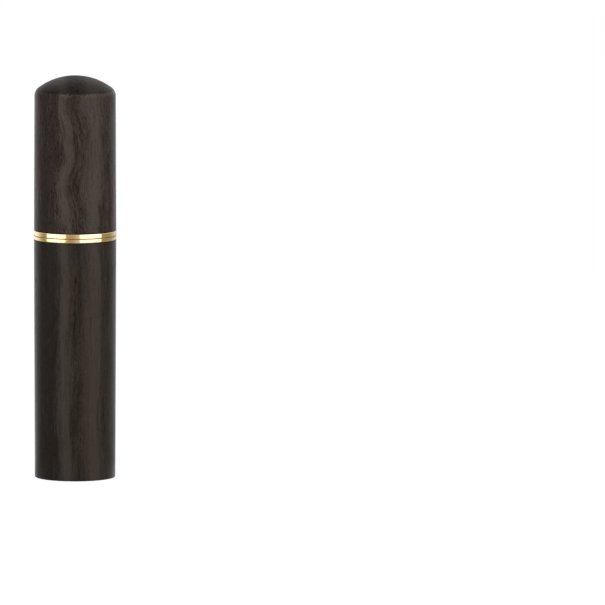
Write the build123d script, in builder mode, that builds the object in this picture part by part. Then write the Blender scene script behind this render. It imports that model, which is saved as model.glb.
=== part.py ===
from build123d import *
import math
import os

# A turned wooden needle case: a hollow body with a flat base, and a pull-off cap with a
# domed crown. Each half has a brass ring at its rim. A brass neck is glued into the body,
# and the cap slips over it on a brass lining, held by a rubber ring in a groove of the neck.
# The origin is the centre of the base, and +Z runs along the case, up to the crown.
# All sizes are in millimetres.

# Outside of the case
total_height = 75.0
cap_length = 29.75  # from the parting line to the top of the crown
rim_radius = 7.65  # wood at the parting line, where the case is widest
base_taper = 0.15  # the body is this much slimmer at its base
crown_taper = 0.09  # the cap is this much slimmer at the foot of its crown
crown_arc_radius = 11.4  # curve over the top of the crown
crown_edge_round = 1.85  # tighter curve from that arc down into the side
base_edge_round = 0.2
rim_edge_break = 0.06

# Brass rings, seen as a double band with a fine dark line at the parting line
body_ring_height = 0.72
cap_ring_height = 0.91
ring_stand_out = 0.03  # the rings stand this far proud of the wood
ring_edge_break = 0.08

# Bore of the case, and the pads at its two ends
bore_radius = 4.2
base_thickness = 4.5
crown_thickness = 5.0
pad_thickness = 1.0
pad_edge_gap = 0.1

# Brass neck in the body, and the brass lining in the cap that slips over it
neck_wall = 1.1
neck_stand = 8.0  # above the parting line
neck_shank = 6.0  # glued into the body, measured below the brass ring
neck_lead = 0.3
slip_clearance = 0.08
lining_wall = 0.6
lining_depth = 9.5  # how far the cap's counterbore reaches above the parting line
lining_setback = 0.1  # the lining stops short of the face of the cap's ring
lining_lead = 0.2
glue_line = 0.03

# Rubber ring in its groove
groove_depth = 0.65
groove_width = 0.9
groove_drop = 2.2  # from the mouth of the neck to the middle of the groove
seal_clearance = 0.025

# Heights and radii that follow from the sizes above
parting_height = total_height - cap_length
body_rim_height = parting_height - body_ring_height
cap_rim_height = parting_height + cap_ring_height
neck_mouth_height = parting_height + neck_stand
neck_foot_height = body_rim_height - neck_shank
lining_top_height = parting_height + lining_depth
bore_floor_height = base_thickness
bore_roof_height = total_height - crown_thickness

base_radius = rim_radius - base_taper
crown_foot_radius = rim_radius - crown_taper
ring_radius = rim_radius + ring_stand_out
neck_radius = bore_radius + neck_wall
lining_bore_radius = neck_radius + slip_clearance
lining_radius = lining_bore_radius + lining_wall
pad_radius = bore_radius - pad_edge_gap

crown_arc_drop = crown_arc_radius - math.sqrt(crown_arc_radius**2 - crown_foot_radius**2)
crown_edge_height = total_height - crown_arc_drop

groove_height = neck_mouth_height - groove_drop
groove_floor_radius = neck_radius - groove_depth
seal_section_radius = (lining_bore_radius - groove_floor_radius) / 2 - seal_clearance
seal_centre_radius = (lining_bore_radius + groove_floor_radius) / 2

os.makedirs("parts", exist_ok=True)


# Body: one turned piece of dark wood, bored from its rim and counterbored for the neck
with BuildPart() as body_shell:
    with BuildSketch(Plane.XZ) as body_profile:
        with BuildLine() as body_outline:
            Polyline(
                (0, 0),
                (base_radius, 0),
                (rim_radius, body_rim_height),
                (0, body_rim_height),
                close=True,
            )
        make_face()
    revolve(axis=Axis.Z)
    body_edges = body_shell.edges().filter_by(GeomType.CIRCLE).sort_by(Axis.Z)
    fillet(body_edges[0], radius=base_edge_round)
    chamfer(body_edges[-1], length=rim_edge_break)
    with Locations((0, 0, body_rim_height)):
        CounterBoreHole(
            radius=bore_radius,
            counter_bore_radius=neck_radius + glue_line,
            counter_bore_depth=neck_shank,
            depth=body_rim_height - bore_floor_height,
        )
body_shell.part.label = "body_shell"
export_step(body_shell.part, "parts/body_shell.step")


# Cap: one turned piece of the same wood, with its crown, bored and counterbored from below
with BuildPart() as cap_shell:
    with BuildSketch(Plane.XZ) as cap_profile:
        with BuildLine() as cap_outline:
            crown_arc = TangentArc(
                (0, total_height), (crown_foot_radius, crown_edge_height), tangent=(1, 0)
            )
            Polyline(
                crown_arc @ 1,
                (rim_radius, cap_rim_height),
                (0, cap_rim_height),
                crown_arc @ 0,
            )
        make_face()
        crown_corner = cap_profile.vertices().sort_by_distance(crown_arc @ 1)[0]
        fillet(crown_corner, radius=crown_edge_round)
    revolve(axis=Axis.Z)
    rim_edge = cap_shell.edges().filter_by(GeomType.CIRCLE).sort_by(Axis.Z)[0]
    chamfer(rim_edge, length=rim_edge_break)
    with Locations(Plane(origin=(0, 0, cap_rim_height), z_dir=(0, 0, -1))):
        CounterBoreHole(
            radius=bore_radius,
            counter_bore_radius=lining_radius + glue_line,
            counter_bore_depth=lining_top_height - cap_rim_height,
            depth=bore_roof_height - cap_rim_height,
        )
cap_shell.part.label = "cap_shell"
export_step(cap_shell.part, "parts/cap_shell.step")


# Body ring: the lower line of the double band, glued on the rim of the body round the neck
with BuildPart() as body_ring:
    with BuildSketch(Plane.XY.offset(body_rim_height)):
        Circle(ring_radius)
        Circle(neck_radius + glue_line, mode=Mode.SUBTRACT)
    extrude(amount=body_ring_height)
    body_ring_circles = body_ring.edges().filter_by(GeomType.CIRCLE)
    chamfer(body_ring_circles.group_by(SortBy.RADIUS)[-1], length=ring_edge_break)
body_ring.part.label = "body_ring"
export_step(body_ring.part, "parts/body_ring.step")


# Cap ring: the upper line of the band, glued on the rim of the cap round the lining
with BuildPart() as cap_ring:
    with BuildSketch(Plane.XY.offset(parting_height)):
        Circle(ring_radius)
        Circle(lining_radius + glue_line, mode=Mode.SUBTRACT)
    extrude(amount=cap_ring_height)
    cap_ring_circles = cap_ring.edges().filter_by(GeomType.CIRCLE)
    chamfer(cap_ring_circles.group_by(SortBy.RADIUS)[-1], length=ring_edge_break)
cap_ring.part.label = "cap_ring"
export_step(cap_ring.part, "parts/cap_ring.step")


# Neck: a brass tube glued into the body, with a groove for the rubber ring near its mouth
with BuildPart() as neck:
    with BuildSketch(Plane.XY.offset(neck_foot_height)):
        Circle(neck_radius)
        Circle(bore_radius, mode=Mode.SUBTRACT)
    extrude(amount=neck_mouth_height - neck_foot_height)
    mouth_edges = neck.edges().group_by(Axis.Z)[-1].sort_by(SortBy.RADIUS)
    chamfer(mouth_edges[-1], length=neck_lead)
    chamfer(mouth_edges[0], length=neck_lead)
    with BuildSketch(Plane.XY.offset(groove_height - groove_width / 2)):
        Circle(neck_radius + slip_clearance)
        Circle(groove_floor_radius, mode=Mode.SUBTRACT)
    extrude(amount=groove_width, mode=Mode.SUBTRACT)
neck.part.label = "neck"
export_step(neck.part, "parts/neck.step")


# Cap lining: a brass tube glued into the cap's counterbore, which slips over the neck
with BuildPart() as cap_lining:
    with BuildSketch(Plane.XY.offset(parting_height + lining_setback)):
        Circle(lining_radius)
        Circle(lining_bore_radius, mode=Mode.SUBTRACT)
    extrude(amount=lining_depth - lining_setback)
    lead_edge = cap_lining.edges().group_by(Axis.Z)[0].sort_by(SortBy.RADIUS)[0]
    chamfer(lead_edge, length=lining_lead)
cap_lining.part.label = "cap_lining"
export_step(cap_lining.part, "parts/cap_lining.step")


# Seal ring: rubber, squeezed between the floor of its groove and the cap's lining
with BuildPart() as seal_ring:
    with Locations((0, 0, groove_height)):
        Torus(major_radius=seal_centre_radius, minor_radius=seal_section_radius)
seal_ring.part.label = "seal_ring"
export_step(seal_ring.part, "parts/seal_ring.step")


# Felt pads: one on the floor of the body's bore, and one under the roof of the cap's bore
with BuildPart() as base_pad:
    with BuildSketch(Plane.XY.offset(bore_floor_height)):
        Circle(pad_radius)
    extrude(amount=pad_thickness)
base_pad.part.label = "base_pad"
export_step(base_pad.part, "parts/base_pad.step")

with BuildPart() as cap_pad:
    with BuildSketch(Plane.XY.offset(bore_roof_height - pad_thickness)):
        Circle(pad_radius)
    extrude(amount=pad_thickness)
cap_pad.part.label = "cap_pad"
export_step(cap_pad.part, "parts/cap_pad.step")
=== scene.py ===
import math

import bpy
import numpy as np
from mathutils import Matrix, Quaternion, Vector


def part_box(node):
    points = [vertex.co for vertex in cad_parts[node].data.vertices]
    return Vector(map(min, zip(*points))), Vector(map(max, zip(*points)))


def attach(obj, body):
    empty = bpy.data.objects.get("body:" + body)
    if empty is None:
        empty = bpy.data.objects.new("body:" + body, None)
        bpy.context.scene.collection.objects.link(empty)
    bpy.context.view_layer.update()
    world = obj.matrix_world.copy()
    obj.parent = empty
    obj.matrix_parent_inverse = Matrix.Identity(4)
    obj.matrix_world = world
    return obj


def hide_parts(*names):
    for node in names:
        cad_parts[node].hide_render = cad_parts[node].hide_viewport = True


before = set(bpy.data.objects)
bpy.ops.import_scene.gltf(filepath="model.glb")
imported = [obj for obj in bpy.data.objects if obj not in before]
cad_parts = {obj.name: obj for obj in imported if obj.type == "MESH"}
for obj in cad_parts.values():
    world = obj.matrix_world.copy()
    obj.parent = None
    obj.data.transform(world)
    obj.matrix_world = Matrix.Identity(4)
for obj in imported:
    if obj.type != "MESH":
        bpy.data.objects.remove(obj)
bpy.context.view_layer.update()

scene = bpy.context.scene


# The view
# The case is seen from a little above through a long lens, and stands at the left of the frame.
# The camera is aimed at the case's axis, and then swung to the right about its own upright.
camera_distance = 3.0
camera_height = 0.387
aim_height = 0.0326
lens_length = 967.1
swing = math.radians(0.8016)

camera = bpy.data.objects.new("camera", bpy.data.cameras.new("camera"))
camera.data.lens = lens_length
camera.location = (0.0, -camera_distance, camera_height)
sight_line = Vector((0.0, 0.0, aim_height)) - camera.location
camera.rotation_mode = "QUATERNION"
camera.rotation_quaternion = sight_line.to_track_quat("-Z", "Y") @ Quaternion((0, 1, 0), -swing)
scene.collection.objects.link(camera)
scene.camera = camera
scene.view_settings.view_transform = "Standard"


# The studio
# A white floor and white surroundings, and two tall soft boxes, one to each side of the camera.
# The brass and the oiled wood reflect a round tent of cloth, which shows in reflections alone. It is
# dimmer in front than to the sides and overhead, and its ground sheet is lit below the two boxes.
class Value:
    """A number or colour of a finish. Sums, differences, products and quotients add Math nodes."""

    def __init__(self, finish, socket):
        self.finish = finish
        self.socket = socket

    def __add__(self, other):
        return self.finish.maths("ADD", self, other)

    def __radd__(self, other):
        return self.finish.maths("ADD", other, self)

    def __sub__(self, other):
        return self.finish.maths("SUBTRACT", self, other)

    def __rsub__(self, other):
        return self.finish.maths("SUBTRACT", other, self)

    def __mul__(self, other):
        return self.finish.maths("MULTIPLY", self, other)

    def __rmul__(self, other):
        return self.finish.maths("MULTIPLY", other, self)

    def __truediv__(self, other):
        return self.finish.maths("DIVIDE", self, other)


class Finish:
    """The nodes of one finish, of a piece or of the surroundings."""

    def __init__(self, owner):
        owner.use_nodes = True
        self.owner = owner
        self.tree = owner.node_tree
        self.tree.nodes.clear()

    def node(self, kind, settings=None, inputs=None, output=0):
        """Adds a node. Its settings come first, then a value or a link for each socket."""
        made = self.tree.nodes.new(kind)
        for name, value in (settings or {}).items():
            setattr(made, name, value)
        for key, value in (inputs or {}).items():
            socket = self.socket_of(made.inputs, key)
            if isinstance(value, Value):
                self.tree.links.new(value.socket, socket)
            else:
                socket.default_value = value
        if output is None:
            return None
        if isinstance(output, tuple):
            return tuple(Value(self, self.socket_of(made.outputs, name)) for name in output)
        return Value(self, self.socket_of(made.outputs, output))

    def socket_of(self, sockets, key):
        """A socket by its place, its name, or its identifier where several share a name."""
        if isinstance(key, int):
            return sockets[key]
        return next(s for s in sockets if key in (s.identifier, s.name))

    def maths(self, operation, *numbers):
        return self.node("ShaderNodeMath", {"operation": operation}, dict(enumerate(numbers)))

    def sine(self, number):
        return self.maths("SINE", number)

    def bell(self, number):
        """1 at zero, and falling away smoothly to both sides."""
        return self.maths("EXPONENT", number * number * -1.0)

    def larger(self, first, second):
        return self.maths("MAXIMUM", first, second)

    def ramp(self, number, low, high):
        """A smooth rise from 0 at low to 1 at high."""
        ends = {"Value": number, "From Min": low, "From Max": high}
        return self.node("ShaderNodeMapRange", {"interpolation_type": "SMOOTHSTEP"}, ends)

    def mix(self, first, second, share):
        """One colour turning into another as the share goes from 0 to 1."""
        inputs = {"Factor_Float": share, "A_Color": first, "B_Color": second}
        return self.node("ShaderNodeMix", {"data_type": "RGBA"}, inputs, "Result_Color")

    def place(self, unit):
        """The point of the piece, counted in the given unit."""
        point = self.node("ShaderNodeTexCoord", output="Object")
        return self.stretch(point, (1 / unit, 1 / unit, 1 / unit))

    def stretch(self, vector, factors):
        return self.node("ShaderNodeVectorMath", {"operation": "MULTIPLY"}, {0: vector, 1: factors})

    def scale(self, colour, number):
        return self.node("ShaderNodeVectorMath", {"operation": "SCALE"}, {0: colour, "Scale": number})

    def parts(self, vector):
        return self.node("ShaderNodeSeparateXYZ", {}, {0: vector}, ("X", "Y", "Z"))

    def vector(self, across, deep, height):
        return self.node("ShaderNodeCombineXYZ", {}, {"X": across, "Y": deep, "Z": height})

    def noise(self, vector, detail=2.0, roughness=0.5):
        """Cloudy noise with patches about one unit wide, from 0 to 1 and mostly near a half."""
        inputs = {"Vector": vector, "Scale": 1.0, "Detail": detail, "Roughness": roughness}
        return self.node("ShaderNodeTexNoise", {}, inputs, "Fac")

    def close(self, shader, end="ShaderNodeOutputMaterial"):
        self.node(end, {}, {"Surface": shader}, None)
        return self.owner


def seen(finish):
    """1 for what the camera sees, straight or in metal or glass, and 0 for light on its way."""
    names = ("Is Camera Ray", "Is Glossy Ray", "Is Transmission Ray")
    straight, mirrored, through = finish.node("ShaderNodeLightPath", output=names)
    return finish.larger(straight, finish.larger(mirrored, through))


MM = 0.001
WHITE = (1.0, 1.0, 1.0, 1.0)
wall_fill = (0.50, 0.50, 0.50, 1.0)
ceiling_fill = (0.16, 0.16, 0.16, 1.0)
ceiling_from = 0.1
ceiling_to = 0.8
floor_half_width = 6.0
floor_drop = 0.01 * MM
floor_colour = (0.80, 0.80, 0.80, 1.0)
floor_glow = 0.965
floor_glow_share = 0.80

world = bpy.data.worlds.new("surroundings")
sky = Finish(world)
upward = sky.parts(sky.node("ShaderNodeTexCoord", output="Generated"))[2]
fill = sky.mix(wall_fill, ceiling_fill, sky.ramp(upward, ceiling_from, ceiling_to))
sky_light = sky.node("ShaderNodeBackground", {}, {"Color": sky.mix(fill, WHITE, seen(sky))})
sky.close(sky_light, "ShaderNodeOutputWorld")
scene.world = world

floor_mesh = bpy.data.meshes.new("floor")
near, far = -floor_half_width, floor_half_width
floor_edge = [(near, near), (far, near), (far, far), (near, far)]
floor_mesh.from_pydata([(x, y, -floor_drop) for x, y in floor_edge], [], [(0, 1, 2, 3)])
floor = bpy.data.objects.new("floor", floor_mesh)
scene.collection.objects.link(floor)
paper = Finish(bpy.data.materials.new("floor_paper"))
matt = paper.node("ShaderNodeBsdfDiffuse", {}, {"Color": floor_colour})
glow_inputs = {"Color": WHITE, "Strength": floor_glow / floor_glow_share}
glow = paper.node("ShaderNodeEmission", {}, glow_inputs)
share = seen(paper) * floor_glow_share
floor_shader = paper.node("ShaderNodeMixShader", {}, {0: share, 1: matt, 2: glow})
floor_mesh.materials.append(paper.close(floor_shader))

box_distance = 0.30
box_height = 0.20
box_radiance = 2.05


def soft_box(name, span):
    """An upright lamp facing the case, over a span of degrees seen from it, 0 being at the camera."""
    middle = math.radians(sum(span) / 2)
    half_angle = math.radians(span[1] - span[0]) / 2
    lamp = bpy.data.lights.new(name, "AREA")
    lamp.shape = "RECTANGLE"
    lamp.size = 2 * box_distance * math.tan(half_angle)
    lamp.size_y = box_height
    lamp.energy = box_radiance * math.pi * lamp.size * lamp.size_y
    box = bpy.data.objects.new(name, lamp)
    aside = box_distance * math.sin(middle)
    ahead = box_distance * math.cos(middle)
    box.location = (aside, -ahead, box_height / 2)
    box.rotation_euler = (math.pi / 2, 0.0, middle)
    box.visible_camera = False
    scene.collection.objects.link(box)


left_span = (-84.5, -26.5)
right_span = (13.5, 77.5)
soft_box("left_soft_box", left_span)
soft_box("right_soft_box", right_span)

tent_radius = 0.42
tent_turns = 96
tent_rows = 24
sheet_start = 0.02
sheet_height = 0.2 * MM
cloth_warm = (0.57, 0.46, 0.31, 1.0)
cloth_cool = (0.79, 0.81, 0.87, 1.0)
cloth_dim = (0.42, 0.38, 0.26, 1.0)
cloth_left = (1.30, 1.33, 1.36, 1.0)
cloth_right = (0.78, 0.81, 0.90, 1.0)
cloth_back = (0.38, 0.39, 0.40, 1.0)
cloth_high = (1.10, 1.15, 1.18, 1.0)
open_top = (0.08, 0.08, 0.08, 1.0)
sheet_lit = (1.0, 1.0, 1.0, 1.0)

# Where one cloth turns into the next, in degrees off the camera or as a share of the tent's radius
cool_from, cool_to = -9.0, 12.0
dim_from, dim_to = 50.0, 75.0
left_from, left_to = 96.0, 136.0
right_from, right_to = 108.0, 150.0
back_from, back_to = 160.0, 178.0
side_from, side_to = 70.0, 95.0
side_foot, side_full = 0.08, 0.25
high_foot, high_full = 0.50, 0.70
opening_foot, opening_full = 0.92, 0.95
sheet_full, sheet_end = 0.01, 0.03
lit_edge = 1.0

around = np.linspace(0.0, 2 * math.pi, tent_turns, endpoint=False)
climb = np.linspace(0.0, math.pi / 2, tent_rows)
level = np.append(sheet_start, tent_radius * np.cos(climb))[:, None]
raised = np.append(sheet_height, sheet_height + tent_radius * np.sin(climb))[:, None]
tent_grid = [level * np.cos(around), level * np.sin(around), raised + 0.0 * around]
tent_points = np.stack(tent_grid, axis=2).reshape(-1, 3).tolist()
low_left = np.arange(tent_turns * tent_rows).reshape(tent_rows, tent_turns)
low_right = np.roll(low_left, -1, axis=1)
tent_faces = [low_left, low_right, low_right + tent_turns, low_left + tent_turns]
tent_mesh = bpy.data.meshes.new("tent")
tent_mesh.from_pydata(tent_points, [], np.stack(tent_faces, axis=2).reshape(-1, 4).tolist())
tent = bpy.data.objects.new("tent", tent_mesh)
tent.visible_camera = False
tent.visible_diffuse = False
tent.visible_shadow = False
scene.collection.objects.link(tent)
cloth = Finish(bpy.data.materials.new("tent_cloth"))
aside, behind, upward = cloth.parts(cloth.place(tent_radius))
bearing = cloth.maths("ARCTAN2", aside, behind * -1.0) * (180 / math.pi)
turned_off = cloth.maths("ABSOLUTE", bearing)
cloth_colour = cloth.mix(cloth_warm, cloth_cool, cloth.ramp(bearing, cool_from, cool_to))
cloth_colour = cloth.mix(cloth_colour, cloth_dim, cloth.ramp(turned_off, dim_from, dim_to))
cloth_colour = cloth.mix(cloth_colour, cloth_left, cloth.ramp(bearing * -1.0, left_from, left_to))
cloth_colour = cloth.mix(cloth_colour, cloth_right, cloth.ramp(bearing, right_from, right_to))
overhead = cloth.ramp(upward, high_foot, high_full)
beside = cloth.ramp(turned_off, side_from, side_to) * cloth.ramp(upward, side_foot, side_full)
cloth_colour = cloth.mix(cloth_colour, cloth_high, cloth.larger(overhead, beside))
behind_it = cloth.ramp(turned_off, back_from, back_to) * (1.0 - overhead)
cloth_colour = cloth.mix(cloth_colour, cloth_back, behind_it)
cloth_colour = cloth.mix(cloth_colour, open_top, cloth.ramp(upward, opening_foot, opening_full))
for first, last in (left_span, right_span):
    begun = cloth.ramp(bearing, first - lit_edge, first + lit_edge)
    going_on = cloth.ramp(bearing * -1.0, -last - lit_edge, -last + lit_edge)
    on_ground = cloth.ramp(upward * -1.0, -sheet_end, -sheet_full)
    cloth_colour = cloth.mix(cloth_colour, sheet_lit, begun * going_on * on_ground)
tent_light = cloth.node("ShaderNodeEmission", {}, {"Color": cloth_colour})
tent_mesh.materials.append(cloth.close(tent_light))


# The body
# A slim turned cylinder of dense dark hardwood, with a flat base, bored from its rim and
# counterbored for the brass neck. It is sanded and oiled to a satin sheen, and the open pores of
# the wood still show as fine dark dashes that follow the run of the fibres.
def eased_outline(corners, closed=False):
    """The outline of a turned piece, as rows of radius and height.

    A corner is (radius, height, ease, spacing). Straight runs join the corners, and an arc of
    radius ease, tangent to both runs, takes a corner's place. Points lie no more than spacing
    apart on the run that leaves the corner.
    """
    arc_steps = 4
    places = np.array([corner[:2] for corner in corners], float)
    bends = []
    for k, (_, _, ease, _) in enumerate(corners):
        at_end = not closed and k in (0, len(corners) - 1)
        if at_end or ease == 0:
            bends.append(places[k][None])
            continue
        came = places[k] - places[k - 1]
        goes = places[(k + 1) % len(places)] - places[k]
        came = came / np.hypot(*came)
        goes = goes / np.hypot(*goes)
        turn = math.acos(np.clip(came @ goes, -1.0, 1.0))
        inward = goes - came * (came @ goes)
        inward = inward / np.hypot(*inward)
        start = places[k] - came * ease * math.tan(turn / 2)
        swept = np.linspace(0.0, turn, arc_steps + 1)[:, None]
        bends.append(start + ease * (np.sin(swept) * came + (1 - np.cos(swept)) * inward))
    rows = []
    for k in range(len(corners) if closed else len(corners) - 1):
        start = bends[k][-1]
        goal = bends[(k + 1) % len(bends)][0]
        steps = max(1, math.ceil(np.hypot(*(goal - start)) / corners[k][3]))
        between = np.linspace(0.0, 1.0, steps + 1)[1:-1, None]
        rows += [bends[k], start + (goal - start) * between]
    if not closed:
        rows.append(bends[-1])
    return np.concatenate(rows)


def turned(name, outline, turns, relief=None, closed=False):
    """A turned piece: its outline, in mm, carried round the axis.

    A point is (radius cos a, radius sin a, height), a being the angle. Relief, if given, takes
    the points and returns how deep each lies below the outline, in mm. An outline runs up the
    outside, so that faces point outwards, and its ends lie on the axis unless it is closed.
    Returns the object, and its points in mm in the order of its mesh.
    """
    radius, height = outline.T
    if closed:
        along = np.roll(outline, -1, axis=0) - np.roll(outline, 1, axis=0)
    else:
        along = np.gradient(outline, axis=0)
    along = along / np.hypot(*along.T)[:, None]
    angle = np.linspace(0.0, 2 * math.pi, turns, endpoint=False)
    level = np.ones(turns)

    def carried(sideways, upward):
        rings = [np.outer(sideways, np.cos(angle)), np.outer(sideways, np.sin(angle))]
        return np.stack(rings + [np.outer(upward, level)], axis=2)

    points = carried(radius, height)
    if relief is not None:
        outward = carried(along[:, 1], -along[:, 0])
        points = points - outward * relief(points)[:, :, None]
    index = np.arange(len(outline) * turns).reshape(len(outline), turns)
    pole = radius < 1e-9
    index[pole] = index[pole][:, :1]
    low = index if closed else index[:-1]
    high = np.roll(index, -1, axis=0) if closed else index[1:]
    quads = np.stack([low, np.roll(low, -1, axis=1), np.roll(high, -1, axis=1), high], axis=2)
    rises = pole[: len(quads)]
    falls = np.roll(pole, -1)[: len(quads)]
    fans = [quads[rises][:, :, [0, 2, 3]], quads[falls][:, :, [0, 1, 2]]]
    fans = np.concatenate([fan.reshape(-1, 3) for fan in fans])
    quads = quads[~(rises | falls)].reshape(-1, 4)
    used, corner_points = np.unique(np.concatenate([quads.ravel(), fans.ravel()]), return_inverse=True)
    sides = np.concatenate([np.full(len(quads), 4), np.full(len(fans), 3)])
    starts = np.cumsum(sides) - sides
    kept = points.reshape(-1, 3)[used]
    mesh = bpy.data.meshes.new(name)
    mesh.vertices.add(len(kept))
    mesh.vertices.foreach_set("co", (kept * MM).astype(np.float32).ravel())
    mesh.loops.add(len(corner_points))
    mesh.loops.foreach_set("vertex_index", corner_points.astype(np.int32).ravel())
    mesh.polygons.add(len(sides))
    mesh.polygons.foreach_set("loop_start", starts.astype(np.int32))
    mesh.polygons.foreach_set("use_smooth", np.ones(len(sides), bool))
    mesh.update(calc_edges=True)
    piece = bpy.data.objects.new(name, mesh)
    scene.collection.objects.link(piece)
    return piece, kept


def paint(piece, name, values):
    """Gives each point of the piece a number that its finish can read."""
    layer = piece.data.attributes.new(name, "FLOAT", "POINT")
    layer.data.foreach_set("value", values.astype(np.float32))


def fit(piece, node, body, material):
    """The piece takes the place of the node of its own size, and moves with its body."""
    piece.data.materials.append(material)
    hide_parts(node)
    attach(piece, body)


def sizes_of(node):
    """A node's outside radius, foot and top, in mm."""
    lowest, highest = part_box(node)
    return highest.x / MM, lowest.z / MM, highest.z / MM


def bell(number):
    """1 at zero, and falling away smoothly to both sides."""
    return np.exp(-number * number)


def fibre_run(across, height, waves, sine, bell):
    """How far aside the fibres lie at a height, in mm, for points as well as for a finish.

    Each wave is (amount, wavelength, phase, centre, reach): a sine along the height, strongest
    at its centre across the case, and falling away over its reach.
    """
    run = 0.0
    for amount, wavelength, phase, centre, reach in waves:
        bend = sine(height * (2 * math.pi / wavelength) + phase)
        run = run + amount * bend * bell((across - centre) / reach)
    return run


def mark_shapes(points, marks, waves):
    """Each mark's neighbourhood, and how far each point there lies inside it, from 0 to 1.

    A mark is (x, y, height, length, width, lean), a length of a fibre that leans aside by so
    much for each mm of height. A point is in it as far as it lies within the mark's width of
    that fibre, and within half the length of its middle.
    """
    across, deep, height = points[..., 0], points[..., 1], points[..., 2]
    run = fibre_run(across, height, waves, np.sin, bell)
    for x, y, middle, length, width, lean in marks:
        near = np.abs(height - middle) < length
        start = fibre_run(np.array(x), np.array(middle), waves, np.sin, bell)
        rise = height[near] - middle
        aside = across[near] - x - (run[near] - start) - lean * rise
        off = (deep[near] - y) / max(1.0, length / 4)
        yield near, np.exp(-(aside**2 + off**2) / (width / 2) ** 2 - (rise / (length / 2)) ** 4)


def openness(points, pores, waves):
    """How open the wood is at each point, from 0 to 1, as the deepest of the pores there."""
    opened = np.zeros(points.shape[:-1])
    for near, inside in mark_shapes(points, pores, waves):
        opened[near] = np.maximum(opened[near], inside)
    return opened


def figure(points, strands, radius, waves):
    """How much paler or darker the listed strands of the front make each point."""
    places = [(x, -math.sqrt(radius**2 - x**2), *rest) for x, *rest, _ in strands]
    drawn = np.zeros(points.shape[:-1])
    for (near, inside), strand in zip(mark_shapes(points, places, waves), strands):
        drawn[near] += strand[-1] * inside
    return drawn


def front_pores(marks, radius):
    """The most open pores of the front, from (across, height, length, width) in mm."""
    return [(x, -math.sqrt(radius**2 - x**2), z, length, width, 0.0) for x, z, length, width in marks]


def scattered_pores(count, radius, foot, top, draw):
    """Short fine pores all round, at places drawn by chance."""
    angle = draw.uniform(0.0, 2 * math.pi, count)
    height = draw.uniform(foot, top, count)
    length = draw.uniform(0.4, 1.0, count) ** 2 * 2.4
    width = draw.uniform(0.08, 0.17, count)
    upright = np.zeros(count)
    return list(zip(radius * np.cos(angle), radius * np.sin(angle), height, length, width, upright))


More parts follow.
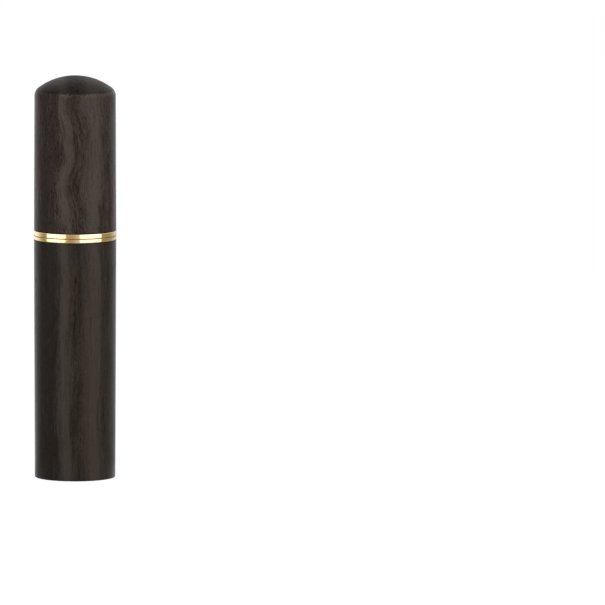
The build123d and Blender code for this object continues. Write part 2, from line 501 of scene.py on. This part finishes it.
def dark_wood(name, waves, tones, liveliness, bored, joint):
    """Dense dark hardwood, worked out through the whole block in mm.

    Pale growth layers stand in a darker ground and bend with the fibres. Each is a bell across
    the block, given as its place, half width and paleness. The two nearest the middle of the
    front lie where the sheen falls, so their paleness is partly painted sheen. Streaks, strands
    and fine fibres run along them, and thin dark pores lie closest in the dark ground. Where the
    surface cuts across the fibres it is darker and less glossy, the darkening being partly end
    grain and partly painted shade on the dome's top. Rounded edges are paler, partly from wear
    and partly as a painted highlight. The bored inside, given as its radius, foot and top, is
    left dry. A thin line of painted shade darkens the wood along the joint with the brass.
    """
    # The layers at -1.95 and 3.7 mm lie where the sheen falls across the front: they are partly wood
    # figure and partly painted sheen.
    layers_and_sheen_bands = [(-9.5, 1.1, 0.55), (-1.95, 1.15, 0.85), (3.7, 1.6, 0.76), (7.9, 1.1, 0.50)]
    lean = 0.15
    ground_from, ground_to, ground_paleness = -3.4, -0.6, 0.30
    end_cut_from, end_cut_to = 0.48, 0.58
    edge_cut_from, edge_cut_to = 0.08, 0.42
    joint_shade_reach = 0.16
    oil_edge = 0.1
    dark, light, tint = tones
    black = (0.002, 0.0016, 0.0014, 1.0)
    wood = Finish(bpy.data.materials.new(name))
    across, deep, height = wood.parts(wood.place(MM))
    run = fibre_run(across, height, waves, wood.sine, wood.bell)
    grain = wood.vector(across - run, deep, height)
    wander = wood.noise(wood.stretch(grain, (0.22, 0.22, 0.05))) - 0.5
    place = across - run + (deep + body_radius) * lean + wander * 1.0
    pale = wood.ramp(place, ground_from, ground_to) * ground_paleness
    for middle, half_width, amount in layers_and_sheen_bands:
        pale = pale + wood.bell((place - middle) / half_width) * amount
    warmth = (wood.ramp(place, -1.5, 1.5) - wood.ramp(place, 5.0, 7.0)) * 0.6
    warm_patches = wood.noise(wood.stretch(grain, (0.35, 0.35, 0.12)))
    warmth = warmth + wood.ramp(warm_patches, 0.40, 0.65) * 0.5

    clouds = wood.noise(wood.stretch(grain, (0.40, 0.40, 0.12)), 3.0)
    streaks = wood.noise(wood.stretch(grain, (1.6, 1.6, 0.08)), 3.0, 0.6)
    strands = wood.noise(wood.stretch(grain, (2.6, 2.6, 0.30)), 2.0)
    fibres = wood.noise(wood.stretch(grain, (7.0, 7.0, 0.70)), 3.0, 0.6)
    specks = wood.noise(wood.stretch(grain, (6.0, 6.0, 2.6)), 1.0)
    vein_course = wood.noise(wood.stretch(grain, (0.8, 0.8, 0.05)), 2.0)
    veins = wood.bell((vein_course - 0.5) * 40.0) * wood.ramp(clouds, 0.60, 0.40)
    lively = (clouds - 0.5) * 1.0 + (streaks - 0.5) * 1.2 + (strands - 0.5) * 1.4
    lively = lively + (fibres - 0.5) * 1.8 + (specks - 0.5) * 1.1 - veins * 0.4
    drawn = wood.node("ShaderNodeAttribute", {"attribute_name": "strand"}, output="Fac")
    paleness = pale + lively * liveliness + drawn

    pores = wood.node("ShaderNodeAttribute", {"attribute_name": "pore"}, output="Fac")
    dashes = wood.ramp(wood.noise(wood.stretch(grain, (5.5, 5.5, 1.3))), 0.60, 0.66)
    shut = 1.0 - wood.larger(pores, dashes * (1.0 - pale * 0.7) * (0.9 * liveliness))

    # Surfaces that face up or down are darker: partly end grain, and partly painted shade on the dome's
    # top.
    upright = wood.parts(wood.node("ShaderNodeTexCoord", output="Normal"))[2]
    cut = wood.maths("ABSOLUTE", upright) + (clouds - 0.5) * 0.2
    end_grain_and_shade = wood.ramp(cut, end_cut_from, end_cut_to)
    # Rounded edges, such as the crown's edge, are paler: partly wear, and partly a painted highlight.
    wear_and_highlight = wood.ramp(cut, edge_cut_from, edge_cut_to) * (1.0 - end_grain_and_shade) * (paleness * 0.8 + 0.2)
    colour = wood.mix(dark, wood.mix(light, tint, warmth), paleness)
    # A thin line of painted shade darkens the wood along the joint with the brass.
    joint_shade = wood.bell((height - joint) / joint_shade_reach)
    colour = wood.scale(colour, (1.0 + wear_and_highlight * 0.55 - end_grain_and_shade * 0.30) * (1.0 - joint_shade * 0.75))
    colour = wood.mix(black, colour, shut)

    bore_radius, bore_foot, bore_top = bored
    off_axis = wood.maths("SQRT", across * across + deep * deep)
    inside = wood.ramp(off_axis * -1.0, -bore_radius, oil_edge - bore_radius)
    inside = inside * wood.ramp(height, bore_foot - oil_edge, bore_foot)
    inside = inside * wood.ramp(height * -1.0, -bore_top - oil_edge, -bore_top)
    oiled = 1.0 - inside

    relief = fibres * 0.4 + streaks * 0.3 + shut * 0.5
    bump_inputs = {"Strength": 0.5, "Distance": 0.03 * MM, "Height": relief}
    bump = wood.node("ShaderNodeBump", {}, bump_inputs)
    looks = {
        "Base Color": colour,
        "Roughness": 0.50 - paleness * oiled * 0.06,
        "Specular IOR Level": 0.04,
        "Specular Tint": (1.0, 0.88, 0.78, 1.0),
        "Coat Weight": shut * oiled * (paleness * 0.25 + 0.62) * (1.0 - end_grain_and_shade * 0.4),
        "Coat Roughness": 0.22,
        "Coat IOR": 1.12,
        "Normal": bump,
    }
    return wood.close(wood.node("ShaderNodeBsdfPrincipled", {}, looks))


wood_turns = 480
outside_spacing = 0.34
end_spacing = 0.6
inside_spacing = 3.0
pore_depth = 0.05
main_bore_radius = 4.2
rim_ease = 0.06
bored_ease = 0.03

body_radius, body_foot, body_rim = sizes_of("body_shell")
neck_radius, neck_foot, neck_mouth = sizes_of("neck")
base_taper = 0.15
base_ease = 0.2
bore_floor = 4.5
glue_line = 0.03
neck_socket_radius = neck_radius + glue_line

body_waves = [(0.12, 17.0, 0.4, 0.0, 30.0), (0.12, 31.0, 2.0, 0.0, 30.0)]
body_marks = [
    (0.1, 37.5, 1.1, 0.28),
    (-0.1, 31.2, 0.9, 0.30),
    (0.0, 30.3, 0.8, 0.20),
    (-0.2, 29.0, 1.4, 0.26),
    (-3.5, 31.4, 1.6, 0.20),
    (-3.9, 29.6, 1.8, 0.22),
    (-4.4, 27.6, 1.8, 0.18),
    (5.4, 31.0, 1.1, 0.26),
    (0.4, 8.8, 2.2, 0.28),
    (0.0, 10.8, 0.8, 0.18),
    (1.7, 10.0, 2.8, 0.14),
    (-0.4, 5.2, 1.7, 0.15),
    (-0.8, 3.2, 1.7, 0.14),
    (1.6, 2.2, 3.0, 0.12),
    (-4.4, 10.7, 0.5, 0.22),
    (-4.2, 8.9, 0.5, 0.22),
]
body_strands = [
    (5.2, 34.0, 18.0, 0.55, 0.0, -0.25),
    (-3.8, 29.6, 5.0, 0.50, 0.28, -0.30),
    (-4.0, 22.5, 12.0, 0.55, 0.17, -0.30),
    (0.5, 14.0, 9.0, 1.60, 0.0, -0.15),
]
body_tones = (
    (0.0152, 0.0115, 0.0087, 1.0),
    (0.055, 0.0455, 0.0375, 1.0),
    (0.056, 0.0405, 0.033, 1.0),
)

body_outline = eased_outline([
    (0.0, 0.0, 0.0, end_spacing),
    (body_radius - base_taper, 0.0, base_ease, outside_spacing),
    (body_radius, body_rim, rim_ease, end_spacing),
    (neck_socket_radius, body_rim, bored_ease, inside_spacing),
    (neck_socket_radius, neck_foot, bored_ease, end_spacing),
    (main_bore_radius, neck_foot, bored_ease, inside_spacing),
    (main_bore_radius, bore_floor, bored_ease, end_spacing),
    (0.0, bore_floor, 0.0, end_spacing),
])
body_pores = front_pores(body_marks, body_radius)
body_draw = np.random.default_rng(11)
body_pores += scattered_pores(260, body_radius, body_foot, body_rim, body_draw)


def body_relief(points):
    return pore_depth * openness(points, body_pores, body_waves)


body_wood, body_points = turned("body_wood", body_outline, wood_turns, body_relief)
paint(body_wood, "pore", openness(body_points, body_pores, body_waves))
paint(body_wood, "strand", figure(body_points, body_strands, body_radius, body_waves))
body_bored = (neck_radius + 0.3, bore_floor, body_rim)
body_material = dark_wood("body_wood", body_waves, body_tones, 0.52, body_bored, body_rim)
fit(body_wood, "body_shell", "case", body_material)


# The cap
# Turned from the next length of the same wood, with a domed crown that rounds over into the side.
# Its grain swirls past a small knot, so its figure is livelier than the body's and a little browner.
cap_radius, cap_rim, cap_top = sizes_of("cap_shell")
lining_radius, lining_foot, lining_top = sizes_of("cap_lining")
crown_taper = 0.09
crown_arc = 11.4
crown_edge = 1.85
bore_roof = cap_top - 5.0
lining_socket_radius = lining_radius + glue_line
cap_outside_spacing = 0.30
crown_steps = 26
edge_steps = 14

cap_waves = [
    (0.70, 16.5, 2.86, -0.5, 3.6),
    (0.25, 7.3, 1.0, -1.0, 2.5),
    (0.12, 31.0, 2.0, 0.0, 30.0),
]
cap_marks = [
    (2.0, 67.7, 0.6, 0.30),
    (1.25, 64.9, 1.2, 0.22),
    (1.5, 63.8, 1.0, 0.20),
    (1.5, 60.6, 1.3, 0.34),
    (1.2, 59.0, 1.8, 0.24),
    (1.05, 50.9, 0.5, 0.34),
    (1.3, 50.2, 0.4, 0.26),
    (1.07, 49.2, 0.45, 0.30),
    (-2.75, 54.0, 2.6, 0.18),
    (-4.46, 54.1, 0.5, 0.28),
    (-4.37, 52.7, 0.5, 0.28),
    (-3.84, 55.4, 0.5, 0.28),
    (5.4, 69.8, 0.9, 0.20),
    (3.3, 70.3, 1.0, 0.14),
    (-2.4, 69.3, 1.5, 0.13),
    (-1.6, 64.8, 0.9, 0.15),
    (-1.1, 63.2, 1.0, 0.17),
    (-3.2, 62.4, 0.6, 0.20),
    (-2.0, 47.5, 2.0, 0.14),
]
cap_strands = [
    (-1.2, 66.2, 2.6, 0.50, -0.65, -0.45),
    (0.6, 62.2, 5.0, 0.55, -0.22, -0.40),
    (-2.6, 55.5, 7.0, 0.50, 0.0, 0.35),
    (-1.6, 49.8, 3.4, 0.50, -0.65, 0.30),
    (-0.4, 54.5, 8.0, 0.45, -0.06, -0.35),
    (0.6, 48.6, 4.5, 0.50, -0.38, -0.35),
    (-4.9, 58.0, 24.0, 1.60, 0.0, -0.15),
    (0.1, 58.0, 24.0, 0.90, 0.0, 0.28),
    (-1.9, 58.0, 24.0, 1.60, 0.0, 0.15),
]
cap_tones = (
    (0.0260, 0.0165, 0.0130, 1.0),
    (0.071, 0.056, 0.046, 1.0),
    (0.069, 0.051, 0.040, 1.0),
)


def crown_outline(top, foot_radius):
    """The dome, from the side up: a tight arc round its edge, and then the wide arc of the crown.

    Both are given as centre + radius (cos a, sin a). The edge's arc starts level with its centre,
    and the two meet where the line through both centres cuts them.
    """
    edge_centre = foot_radius - crown_edge
    drop = math.sqrt((crown_arc - crown_edge) ** 2 - edge_centre**2)
    meeting = math.atan2(drop, edge_centre)
    swept = np.linspace(0.0, meeting, edge_steps + 1)
    foot = top - crown_arc + drop
    edge = np.stack([edge_centre + crown_edge * np.cos(swept), foot + crown_edge * np.sin(swept)], axis=1)
    swept = np.linspace(meeting, math.pi / 2, crown_steps + 1)[1:]
    crown = np.stack([crown_arc * np.cos(swept), top - crown_arc + crown_arc * np.sin(swept)], axis=1)
    crown[-1, 0] = 0.0
    return np.concatenate([edge, crown])


dome = crown_outline(cap_top, cap_radius - crown_taper)
cap_outline = eased_outline(
    [
        (0.0, bore_roof, 0.0, end_spacing),
        (main_bore_radius, bore_roof, bored_ease, inside_spacing),
        (main_bore_radius, lining_top, bored_ease, end_spacing),
        (lining_socket_radius, lining_top, bored_ease, inside_spacing),
        (lining_socket_radius, cap_rim, bored_ease, end_spacing),
        (cap_radius, cap_rim, rim_ease, cap_outside_spacing),
    ]
    + [(radius, height, 0.0, 1.0) for radius, height in dome]
)
cap_pores = front_pores(cap_marks, cap_radius)
cap_draw = np.random.default_rng(23)
cap_pores += scattered_pores(240, cap_radius, cap_rim, cap_top - 4.0, cap_draw)


def cap_relief(points):
    return pore_depth * openness(points, cap_pores, cap_waves)


cap_wood, cap_points = turned("cap_wood", cap_outline, wood_turns, cap_relief)
paint(cap_wood, "pore", openness(cap_points, cap_pores, cap_waves))
paint(cap_wood, "strand", figure(cap_points, cap_strands, cap_radius, cap_waves))
cap_bored = (lining_radius + 0.3, cap_rim, bore_roof + 0.1)
cap_material = dark_wood("cap_wood", cap_waves, cap_tones, 0.95, cap_bored, cap_rim)
fit(cap_wood, "cap_shell", "cap", cap_material)


# The brass band
# Two plain rings of polished brass, one glued on the rim of the body and one on the rim of the cap.
# Their broken edges meet in a fine dark line of painted shade, and they stand a hair proud of the wood.
def turned_brass(name, polish, line_depth, seam=None):
    """Brass with fine lines left by the lathe, which run round the case, and a little tarnish.

    The lines are noise packed tightly along the height and the radius, and drawn out sideways.
    A seam, given as its radius, height and width, is a line of painted shade round the outside, which is
    also rougher.
    """
    bright = (0.80, 0.60, 0.33, 1.0)
    dull = (0.66, 0.45, 0.20, 1.0)
    joint_shade = (0.10, 0.08, 0.06, 1.0)
    metal = Finish(bpy.data.materials.new(name))
    place = metal.place(MM)
    across, deep, height = metal.parts(place)
    off_axis = metal.maths("SQRT", across * across + deep * deep)
    drawn = metal.stretch(place, (0.25, 0.25, 14.0))
    line_inputs = {"Vector": drawn, "W": off_axis * 14.0, "Scale": 1.0, "Detail": 2.0}
    lines = metal.node("ShaderNodeTexNoise", {"noise_dimensions": "4D"}, line_inputs, "Fac")
    tarnish = metal.ramp(metal.noise(metal.stretch(place, (0.5, 0.5, 0.8)), 4.0, 0.6), 0.42, 0.75)
    colour = metal.mix(bright, dull, tarnish * 0.5 + (lines - 0.5) * 0.3)
    roughness = polish + tarnish * 0.08 + (lines - 0.5) * 0.06
    # The seam is painted shade: a dark line round the outside where the two rings meet.
    if seam is not None:
        seam_radius, seam_height, seam_width = seam
        seam_shade = metal.bell((height - seam_height) / seam_width)
        seam_shade = seam_shade * metal.ramp(off_axis, seam_radius - 0.25, seam_radius - 0.10)
        colour = metal.mix(colour, joint_shade, seam_shade)
        roughness = roughness + seam_shade * 0.4
    looks = {
        "Base Color": colour,
        "Metallic": 1.0,
        "Roughness": roughness,
        "Normal": metal.node(
            "ShaderNodeBump", {}, {"Strength": 0.25, "Distance": line_depth, "Height": lines}
        ),
    }
    return metal.close(metal.node("ShaderNodeBsdfPrincipled", {}, looks))


metal_turns = 384
ring_ease = 0.08
ring_spacing = 0.12
seam_width = 0.09
turning_gap = 0.005
ring_radius, parting, _ = sizes_of("cap_ring")
ring_material = turned_brass("polished_brass", 0.09, 0.001 * MM, (ring_radius, parting, seam_width))


def brass_ring(name, node, body, bore, lift=0.0):
    """A flat ring with broken outer edges, bored to fit over its tube. Lift raises its lower face."""
    radius, foot, top = sizes_of(node)
    outline = eased_outline(
        [
            (bore, foot + lift, bored_ease, ring_spacing),
            (radius, foot + lift, ring_ease, ring_spacing),
            (radius, top, ring_ease, ring_spacing),
            (bore, top, bored_ease, ring_spacing),
        ],
        closed=True,
    )
    ring, _ = turned(name, outline, metal_turns, closed=True)
    fit(ring, node, body, ring_material)


brass_ring("body_band", "body_ring", "case", neck_socket_radius)
brass_ring("cap_band", "cap_ring", "cap", lining_socket_radius, turning_gap)


# The neck
# A brass tube glued into the body. The cap slides over what stands up of it, so its mouth has a
# lead outside and in, and a groove below the mouth holds the rubber ring.
tube_material = turned_brass("drawn_brass", 0.16, 0.002 * MM)
seal_radius, seal_foot, seal_top = sizes_of("seal_ring")
neck_lead = 0.3
groove_depth = 0.65
groove_width = 0.9
tube_spacing = 0.5
groove_ease = 0.06
lead_ease = 0.08
groove_middle = (seal_foot + seal_top) / 2
groove_foot = groove_middle - groove_width / 2
groove_top = groove_middle + groove_width / 2

neck_outline = eased_outline(
    [
        (main_bore_radius, neck_foot, bored_ease, tube_spacing),
        (neck_radius, neck_foot, bored_ease, tube_spacing),
        (neck_radius, groove_foot, groove_ease, tube_spacing),
        (neck_radius - groove_depth, groove_foot, groove_ease, tube_spacing),
        (neck_radius - groove_depth, groove_top, groove_ease, tube_spacing),
        (neck_radius, groove_top, groove_ease, tube_spacing),
        (neck_radius, neck_mouth - neck_lead, lead_ease, tube_spacing),
        (neck_radius - neck_lead, neck_mouth, lead_ease, tube_spacing),
        (main_bore_radius + neck_lead, neck_mouth, lead_ease, tube_spacing),
        (main_bore_radius, neck_mouth - neck_lead, lead_ease, tube_spacing),
    ],
    closed=True,
)
neck_tube, _ = turned("neck_tube", neck_outline, metal_turns, closed=True)
fit(neck_tube, "neck", "case", tube_material)


# The cap's lining
# A thin brass tube glued into the cap, with a lead at its mouth. It slides down over the neck.
lining_wall = 0.6
lining_lead = 0.2
lining_bore = lining_radius - lining_wall

lining_outline = eased_outline(
    [
        (lining_bore + lining_lead, lining_foot, bored_ease, tube_spacing),
        (lining_radius, lining_foot, bored_ease, tube_spacing),
        (lining_radius, lining_top, bored_ease, tube_spacing),
        (lining_bore, lining_top, bored_ease, tube_spacing),
        (lining_bore, lining_foot + lining_lead, bored_ease, tube_spacing),
    ],
    closed=True,
)
lining_tube, _ = turned("lining_tube", lining_outline, metal_turns, closed=True)
fit(lining_tube, "cap_lining", "cap", tube_material)


# The rubber ring
# A moulded ring that sits in the neck's groove and grips the lining. It is round in section with
# the fine seam of its mould inside and out, and a dull film of wax on it.
seal_section = (seal_top - seal_foot) / 2
seal_centre = seal_radius - seal_section
seam_height = 0.02
section_steps = 40

section_angle = np.linspace(-math.pi, math.pi, section_steps, endpoint=False)
seam = seam_height * bell(np.sin(section_angle) / 0.12)
section_radius = seal_section - seam_height + seam
seal_across = seal_centre + section_radius * np.cos(section_angle)
seal_heights = groove_middle + section_radius * np.sin(section_angle)
seal_outline = np.stack([seal_across, seal_heights], axis=1)
rubber = Finish(bpy.data.materials.new("black_rubber"))
rubber_grain = rubber.noise(rubber.stretch(rubber.place(MM), (9.0, 9.0, 9.0)), 4.0, 0.6)
rubber_film = rubber.ramp(rubber.noise(rubber.stretch(rubber.place(MM), (0.9, 0.9, 1.6)), 3.0), 0.4, 0.7)
rubber_looks = {
    "Base Color": rubber.mix((0.012, 0.012, 0.012, 1.0), (0.035, 0.034, 0.032, 1.0), rubber_film),
    "Roughness": 0.42 + rubber_film * 0.25,
    "Normal": rubber.node(
        "ShaderNodeBump", {}, {"Strength": 0.4, "Distance": 0.01 * MM, "Height": rubber_grain}
    ),
}
rubber_material = rubber.close(rubber.node("ShaderNodeBsdfPrincipled", {}, rubber_looks))
seal, _ = turned("rubber_ring", seal_outline, metal_turns, closed=True)
fit(seal, "seal_ring", "seal", rubber_material)


# The felt pads
# Discs cut from pressed wool felt, glued on the floor of the body's bore and under the roof of the
# cap's. Their cut edges are soft, their faces are matted and uneven, and use has left small dents.
def cloudy(points, wavelength, draw):
    """Smooth uneven relief between about -1 and 1: the mean of sine waves in all directions."""
    waves = 28
    headings = draw.normal(size=(waves, 3))
    headings /= np.linalg.norm(headings, axis=1)[:, None]
    lengths = wavelength * draw.uniform(0.7, 1.5, waves)
    starts = draw.uniform(0.0, 2 * math.pi, waves)
    swell = np.sin(points @ (headings * (2 * math.pi / lengths[:, None])).T + starts)
    return swell.sum(axis=-1) / math.sqrt(waves)


def pressed_felt(name, pale, deep_tone):
    """Wool felt: matted fibres of two tones, fuzzy at the edges."""
    felt = Finish(bpy.data.materials.new(name))
    place = felt.place(MM)
    tangle = felt.noise(felt.stretch(place, (5.0, 5.0, 5.0)), 6.0, 0.7)
    hairs = felt.noise(felt.stretch(place, (22.0, 6.0, 14.0)), 3.0, 0.7)
    crossed = felt.noise(felt.stretch(place, (6.0, 22.0, 14.0)), 3.0, 0.7)
    fibre = felt.larger(hairs, crossed)
    share = felt.ramp(tangle * 0.5 + fibre * 0.6, 0.40, 0.75)
    relief = tangle * 0.6 + fibre * 0.5
    bump_inputs = {"Strength": 0.8, "Distance": 0.08 * MM, "Height": relief}
    looks = {
        "Base Color": felt.mix(deep_tone, pale, share),
        "Roughness": 0.95 - share * 0.1,
        "Specular IOR Level": 0.15,
        "Sheen Weight": 0.3,
        "Sheen Roughness": 0.5,
        "Normal": felt.node("ShaderNodeBump", {}, bump_inputs),
    }
    return felt.close(felt.node("ShaderNodeBsdfPrincipled", {}, looks))


felt_material = pressed_felt("wool_felt", (0.34, 0.31, 0.27, 1.0), (0.20, 0.18, 0.16, 1.0))
pad_turns = 256
pad_spacing = 0.08
pad_cut_ease = 0.12
pad_worn_ease = 0.30
pad_crown = 0.06
pad_lump = 0.02
dent_depth = 0.16
dent_width = 0.30
dent_count = 9


def felt_pad(name, node, body, worn_side, seed):
    """A disc that is crowned on its open face, worn_side being 1 above or -1 below."""
    radius, foot, top = sizes_of(node)
    eases = (pad_cut_ease, pad_worn_ease)[::worn_side]
    outline = eased_outline([
        (0.0, foot, 0.0, pad_spacing),
        (radius, foot, eases[0], pad_spacing),
        (radius, top, eases[1], pad_spacing),
        (0.0, top, 0.0, pad_spacing),
    ])
    draw = np.random.default_rng(seed)
    dent_angle = draw.uniform(0.0, 2 * math.pi, dent_count)
    dent_place = draw.uniform(0.3, 0.8, dent_count) * radius
    open_face = top if worn_side > 0 else foot

    def relief(points):
        off_axis = np.hypot(points[..., 0], points[..., 1])
        wear_and_highlight = bell((points[..., 2] - open_face) / 0.3)
        depth = pad_lump * (1.0 + cloudy(points, 0.7, np.random.default_rng(seed)))
        depth = depth + wear_and_highlight * pad_crown * (off_axis / radius) ** 3
        for angle, place in zip(dent_angle, dent_place):
            x, y = place * math.cos(angle), place * math.sin(angle)
            away = np.hypot(points[..., 0] - x, points[..., 1] - y)
            depth = depth + wear_and_highlight * dent_depth * bell(away / dent_width)
        return depth

    pad, _ = turned(name, outline, pad_turns, relief)
    fit(pad, node, body, felt_material)


felt_pad("floor_felt", "base_pad", "case", 1, 31)
felt_pad("roof_felt", "cap_pad", "cap", -1, 37)
